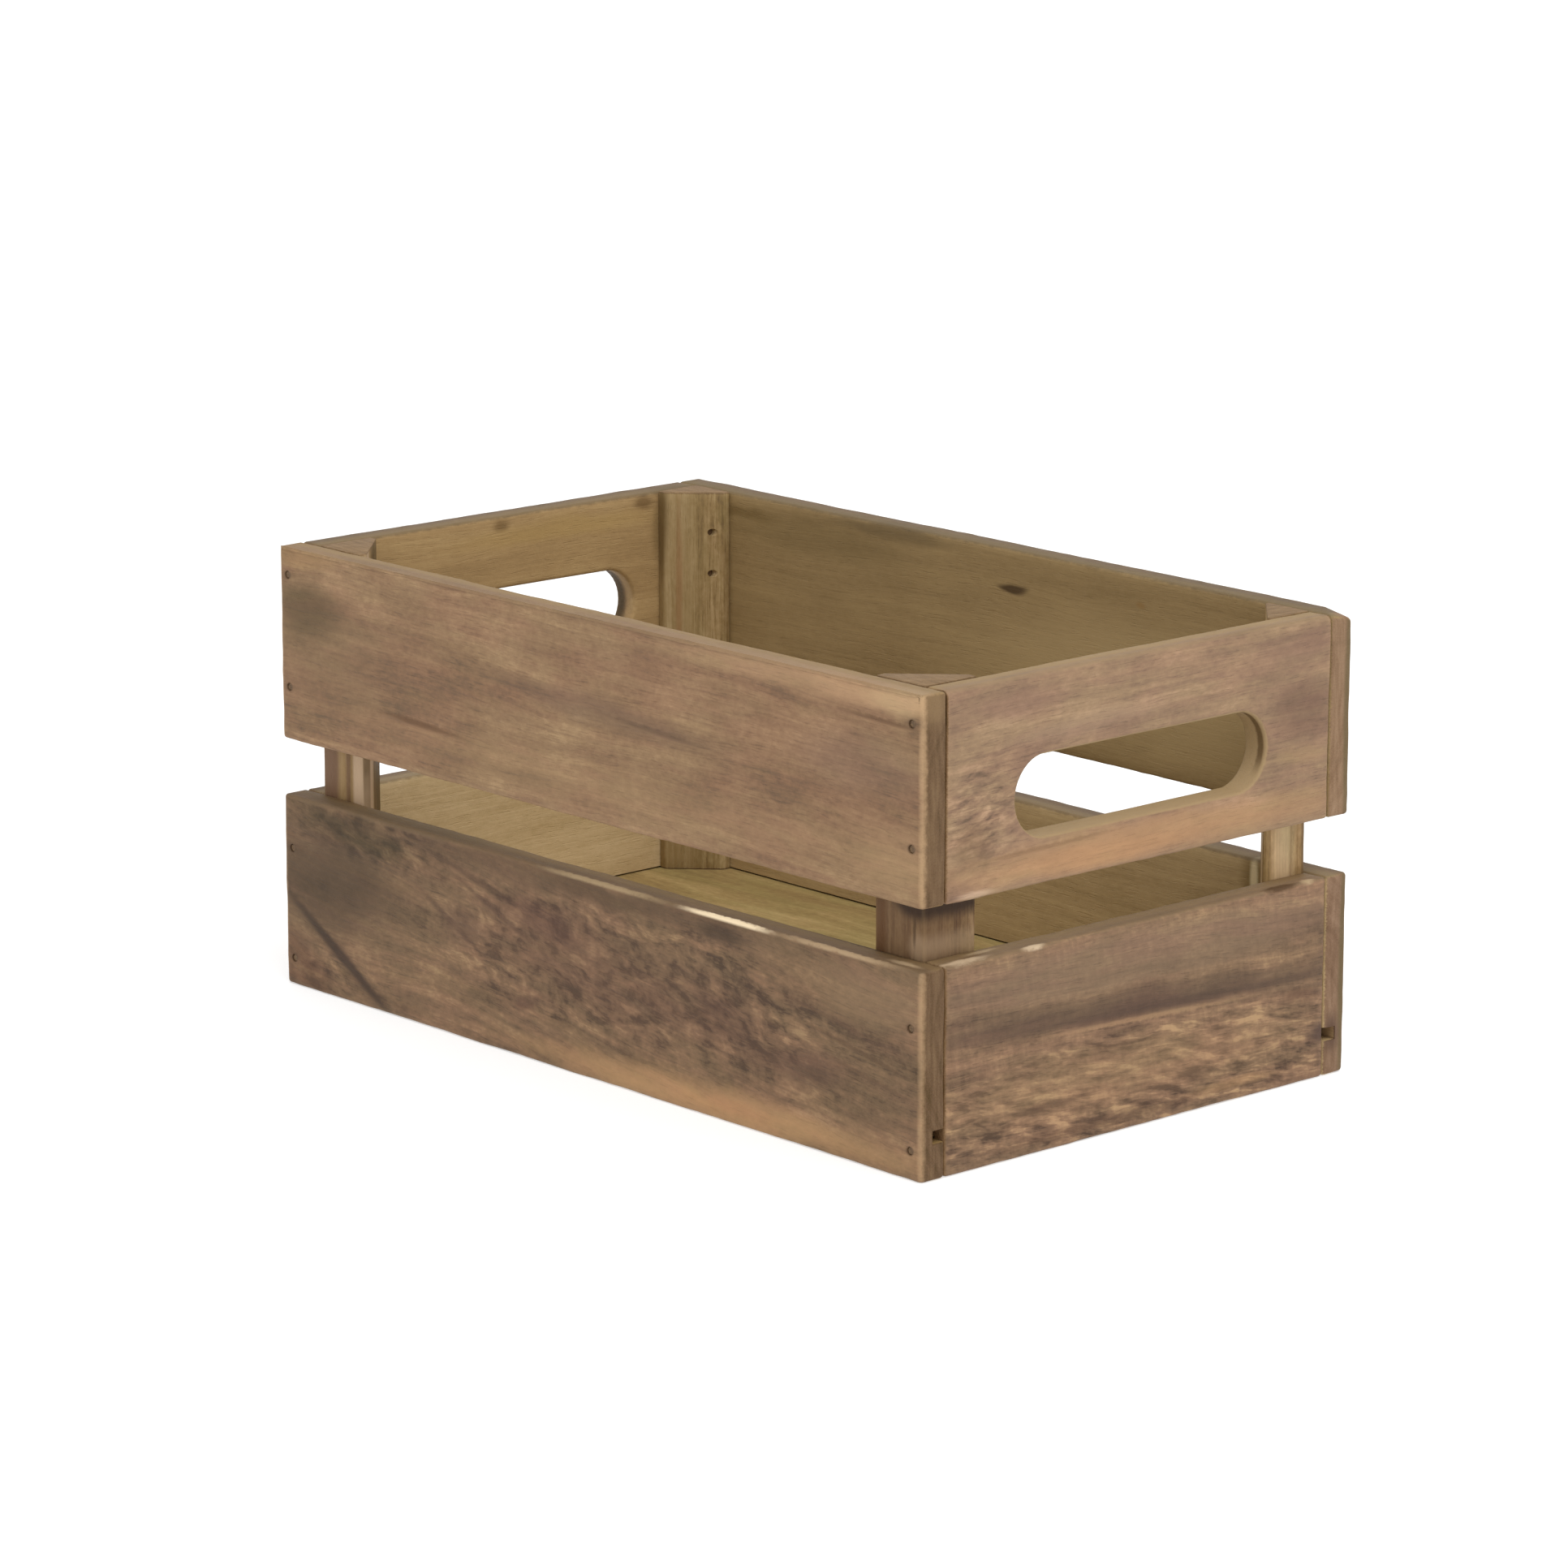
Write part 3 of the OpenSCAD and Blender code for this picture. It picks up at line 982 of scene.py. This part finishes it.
                patch((-44, 3.8), (6, 1.4), "cdb698", 0.8, core=0.3),
                # painted shade where the back right post meets this top edge
                patch((60, 3.6), (10, 2.0), "4f3822", 0.9, core=0.4),
                patch((72, 3.6), (4, 1.5), "b8a07c", 0.7),
            ]),
    },
}


# The boards' shapes.

boardShape = {
    "edgeRound": 1.2 * mm,
    "cornerRound": 1.8 * mm,  # the standing corners of the long boards
    "topRound": 2.6 * mm,  # the upper edges that hands rub
    "rimRound": 1.3 * mm,  # round the hand slot
    "slice": 3.2 * mm,  # spacing of the mesh that carries the wear
    "slotArc": 20,  # segments in one end of the slot
    "slotCut": 30.0 * mm,  # length of the tool that cuts the slot, well past both faces
    "groovePlay": 0.5 * mm,
    "grooveEndPlay": 0.6 * mm,
}


def slotCutter(low, high):
    middle = (low + high) / 2
    radius = handSlot["height"] / 2
    reach = handSlot["length"] / 2 - radius
    centre = Vector((middle.x, middle.y, middle.z - handSlot["drop"]))
    bpy.ops.object.select_all(action="DESELECT")
    bpy.ops.mesh.primitive_cylinder_add(vertices=2 * boardShape["slotArc"], radius=radius,
                                        depth=boardShape["slotCut"], location=centre,
                                        rotation=(0, math.pi / 2, 0))
    cutter = bpy.context.object
    bpy.ops.object.transform_apply(location=True, rotation=True, scale=True)
    openMesh(cutter)
    bpy.ops.mesh.select_mode(type="VERT")
    for side in (-1, 1):  # pull the two halves apart
        bpy.ops.mesh.select_all(action="DESELECT")
        shape = bmesh.from_edit_mesh(cutter.data)
        for vertex in shape.verts:
            vertex.select = (vertex.co.y - centre.y) * side > 0.1 * mm
        shape.select_flush_mode()
        bmesh.update_edit_mesh(cutter.data)
        bpy.ops.transform.translate(value=(0, side * reach, 0))
    closeMesh()
    return cutter


def makeSlot(piece, low, high):
    middle = (low + high) / 2
    slotZ = middle.z - handSlot["drop"]
    radius = handSlot["height"] / 2
    room = 0.1 * mm
    sliceMesh(piece, 2, [slotZ])
    sliceMesh(piece, 1, [middle.y])
    cutAway(piece, slotCutter(low, high))

    def onRim(edge):
        spot = middleOf(edge)
        onFace = isNear(spot.x, low.x) or isNear(spot.x, high.x)
        inHeight = abs(spot.z - slotZ) < radius + room
        inLength = abs(spot.y) < handSlot["length"] / 2 + room
        return isSharp(edge) and onFace and inHeight and inLength

    roundEdges(piece, boardShape["rimRound"], onRim, segments=4)


def knockCorner(piece, low, high, knock):
    # a flat knocked off one corner: which corner, and how many millimetres it takes of each edge
    side, reach = knock["corner"], knock["reach"]
    corner = Vector([high[axis] if side[axis] > 0 else low[axis] for axis in range(3)])
    normal = Vector([side[axis] / (reach[axis] * mm) for axis in range(3)]).normalized()
    onPlane = corner - Vector((side[0] * reach[0] * mm, 0, 0))
    openMesh(piece)
    bpy.ops.mesh.select_all(action="SELECT")
    bpy.ops.mesh.bisect(plane_co=onPlane, plane_no=normal, use_fill=True, clear_outer=True)
    closeMesh()


def makeGroove(piece, low, high):
    floorLow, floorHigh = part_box("floor_panel")
    room = boardShape["grooveEndPlay"]
    cutLow = floorLow - Vector((room, room, 0))
    cutHigh = floorHigh + Vector((room, room, boardShape["groovePlay"]))
    along = 0 if high.x - low.x > high.y - low.y else 1
    over = 5 * mm  # the groove runs out of both ends
    cutLow[along] = low[along] - over
    cutHigh[along] = high[along] + over
    cutAway(piece, addBlock("grooveCutter", cutLow, cutHigh))


def roundBoard(piece, board, low, high, outerEdges):
    outward = 1 - board["grain"]  # the axis that the outer face looks along
    outerPlace = low[outward] if board["outward"] < 0 else high[outward]

    def standingCorner(edge):
        along = edge.verts[0].co - edge.verts[1].co
        return abs(along.z) > 10 * mm and isNear(middleOf(edge)[outward], outerPlace)

    def topEdge(edge):
        spot = middleOf(edge)
        return isNear(spot.z, high.z) and isNear(spot[outward], outerPlace)

    if board["grain"] == 0:
        roundEdges(piece, boardShape["cornerRound"], standingCorner, segments=4)
    if board.get("rubbedTop"):
        roundEdges(piece, boardShape["topRound"], topEdge, segments=4)
    if board.get("knock"):
        knockCorner(piece, low, high, board["knock"])
    roundEdges(piece, boardShape["edgeRound"], outerEdges)


def makeBoard(name, board):
    low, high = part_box(board["node"])
    grain = board["grain"]
    piece = addBlock(name, low, high)

    def blockEdge(edge):  # leaves out the rim of the slot, which is round already
        return isSharp(edge) and edgeDistance(middleOf(edge), low, high) < meshCare["near"]

    if board["look"]["slot"]:
        makeSlot(piece, low, high)
        roundBoard(piece, board, low, high, blockEdge)
    else:
        roundBoard(piece, board, low, high, isSharp)
    if "lower" in board["node"]:
        makeGroove(piece, low, high)
    sliceMesh(piece, grain, evenCuts(low[grain], high[grain], boardShape["slice"]))
    sliceMesh(piece, 2, evenCuts(low.z, high.z, boardShape["slice"]))
    wearDown(piece, low, high)
    drillFor(piece, board["nails"])
    smoothOver(piece)
    axes = (grain, 2, 1 - grain)
    material = woodPaint(name + "Wood", low, high, axes, board["outward"], board["look"])
    finishPiece(piece, board["node"], "end_board_wood" if grain == 1 else "long_board_wood", material)


for name, board in boards.items():
    makeBoard(name, board)
print("boards made:", len(boards))


# The three-cornered posts.

postShape = {
    "edge": 3.0 * mm,  # left at each thin edge
    "edgeRound": 0.5 * mm,
    "slice": 4.0 * mm,
}


def postLook(**changes):  # a post has the same wood all round
    look = lookOf(
        wander=5.0, ripple=0.8, ringGap=1.6, rings=0.4, streaks=0.8, clouds=0.25, fibres=0.5,
        specks=0.4, wear=0.1, markDrift=0.8, pith=(30.0, -22.0), wornColour="a58a60",
        colours=["6f5639", "8c7047", "a0845c", "b89c74"], endColours=["6b553c", "82694c", "947b5b"])
    look.update(changes)
    look["innerColours"] = look["colours"]
    look["innerStain"] = look["stain"]
    look["innerMarks"] = changes.get("innerMarks", look["marks"])
    return look


posts = {
    "frontLeftPost": {
        "node": "front_left_post", "corner": (-1, -1), "axes": (2, 0, 1),
        "look": postLook(seed=33.1, stain=(1.0, 1.0, 1.0), marks=[
            patch((0, 0), (90, 16), "5e4c30", 0.85, core=0.9),
        ], innerMarks=[
            patch((0, -6.5), (90, 5.5), "71533f", 0.85, core=0.5),
            patch((0, 8.4), (90, 4.2), "bfa487", 0.9, core=0.6),
            patch((0, 2.6), (90, 1.8), "634632", 0.7),
            # painted shade on the post's thin edge
            patch((0, 13.8), (90, 4.0), "5e4c30", 0.9, core=0.85),
        ]),
    },
    "frontRightPost": {
        "node": "front_right_post", "corner": (1, -1), "axes": (2, 0, 1),
        "look": postLook(seed=37.7, stain=(0.80, 0.77, 0.70), marks=[
            patch((0, -8), (90, 3.6), "6b4a2c", 0.8),
            # painted shadow under the upper boards at the corner
            patch((4, 7), (11, 14), "3c2b21", 0.9, core=0.6),
            patch((-13, 8), (6, 6), "b39a80", 0.6),
            patch((-8, 6.5), (7, 1.0), "54402c", 0.7, crisp=True),
        ], colours=["5c432d", "775b41", "8f7355", "ab9070"]),
    },
    "backLeftPost": {
        "node": "back_left_post", "corner": (-1, 1), "axes": (2, 0, 1),
        "look": postLook(seed=41.9, stain=(1.07, 1.17, 1.26), marks=[
            # painted shade between this post and the left end board, on its upper part
            patch((54, -6.8), (26, 3.0), "644c2a", 0.8, core=0.4),
            patch((30, -2), (45, 1.2), "8d6540", 0.6),
        ]),
    },
    "backRightPost": {
        "node": "back_right_post", "corner": (1, 1), "axes": (2, 1, 0),
        "edge": 1.4 * mm,  # this one is sawn sharper
        "look": postLook(seed=45.2, stain=(1.1, 1.1, 1.1), marks=[
            patch((0, -1), (90, 7), "bda480", 0.8),
            patch((0, 2.5), (90, 0.8), "8b7150", 0.7, crisp=True),
            patch((0, 7.9), (90, 1.1), "6d5638", 0.8),
        ]),
    },
}


def makePost(name, post):
    low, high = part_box(post["node"])
    xSide, ySide = post["corner"]
    piece = addBlock(name, low, high)
    innerX = low.x if xSide > 0 else high.x
    innerY = low.y if ySide > 0 else high.y

    def innerCorner(edge):
        spot = middleOf(edge)
        return isNear(spot.x, innerX) and isNear(spot.y, innerY)

    edge = post.get("edge", postShape["edge"])
    roundEdges(piece, (high - low).x - edge, innerCorner, segments=1)
    roundEdges(piece, postShape["edgeRound"], isSharp, segments=2)
    sliceMesh(piece, 2, evenCuts(low.z, high.z, postShape["slice"]))
    wearDown(piece, low, high, amount=0.4)
    drillFor(piece, [post["node"] + "_nails"])
    smoothOver(piece)
    material = woodPaint(name + "Wood", low, high, post["axes"], 1, post["look"])
    finishPiece(piece, post["node"], "post_wood", material)


for name, post in posts.items():
    makePost(name, post)
print("posts made:", len(posts))


# The thin floor.

floorShape = {
    "edgeRound": 0.4 * mm,
    "slice": 8.0 * mm,
    "look": lookOf(
        seed=50.3, wander=30.0, pith=(0.0, -90.0), ringGap=7.0, rings=0.5, streaks=0.6, clouds=0.3,
        fibres=0.25, pores=0.06, wear=0.1, colours=["806a3c", "948049", "a69159"],
        stain=(1.15, 1.15, 1.55), innerColours=["7a6843", "8f7b50", "a08b5f"],
        innerStain=(0.9, 0.9, 0.9), bump=0.25),
}


def makeFloor():
    low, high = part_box("floor_panel")
    piece = addBlock("floorPanel", low, high)
    roundEdges(piece, floorShape["edgeRound"], isSharp, segments=2)
    sliceMesh(piece, 0, evenCuts(low.x, high.x, floorShape["slice"]))
    sliceMesh(piece, 1, evenCuts(low.y, high.y, floorShape["slice"]))
    smoothOver(piece)
    material = woodPaint("floorPanelWood", low, high, (0, 1, 2), 1, floorShape["look"])
    finishPiece(piece, "floor_panel", "floor_panel_wood", material)


makeFloor()
print("floor made")


# The nails, set in their holes.

def nailPaint():
    paint = Paint("darkNailSteel")
    place = paint.node("ShaderNodeTexCoord", {}, {}, output="Object")
    scaled = paint.node("ShaderNodeVectorMath", {"operation": "SCALE"}, {0: place, "Scale": 1400.0})
    grime = paint.noise(scaled, detail=3)
    paint.feed(paint.shader.inputs["Base Color"], paint.ramp(grime, ["4a3622", "664e34", "806849"]))
    paint.feed(paint.shader.inputs["Metallic"], 0.2)
    paint.feed(paint.shader.inputs["Roughness"], 0.45 + grime * 0.3)
    return paint.material


nailSteel = nailPaint()
for node, plan in nails.items():
    wall, *rest = node.split("_")
    pieceName = wall + "".join(word.capitalize() for word in rest)
    first = makeNail("nail", plan["length"])
    driven = setNails(first, plan["spots"], plan["way"], pieceName)
    smoothOver(driven, angle=50)
    finishPiece(driven, node, "nail_steel", nailSteel)
print("nails made:", len(nails))
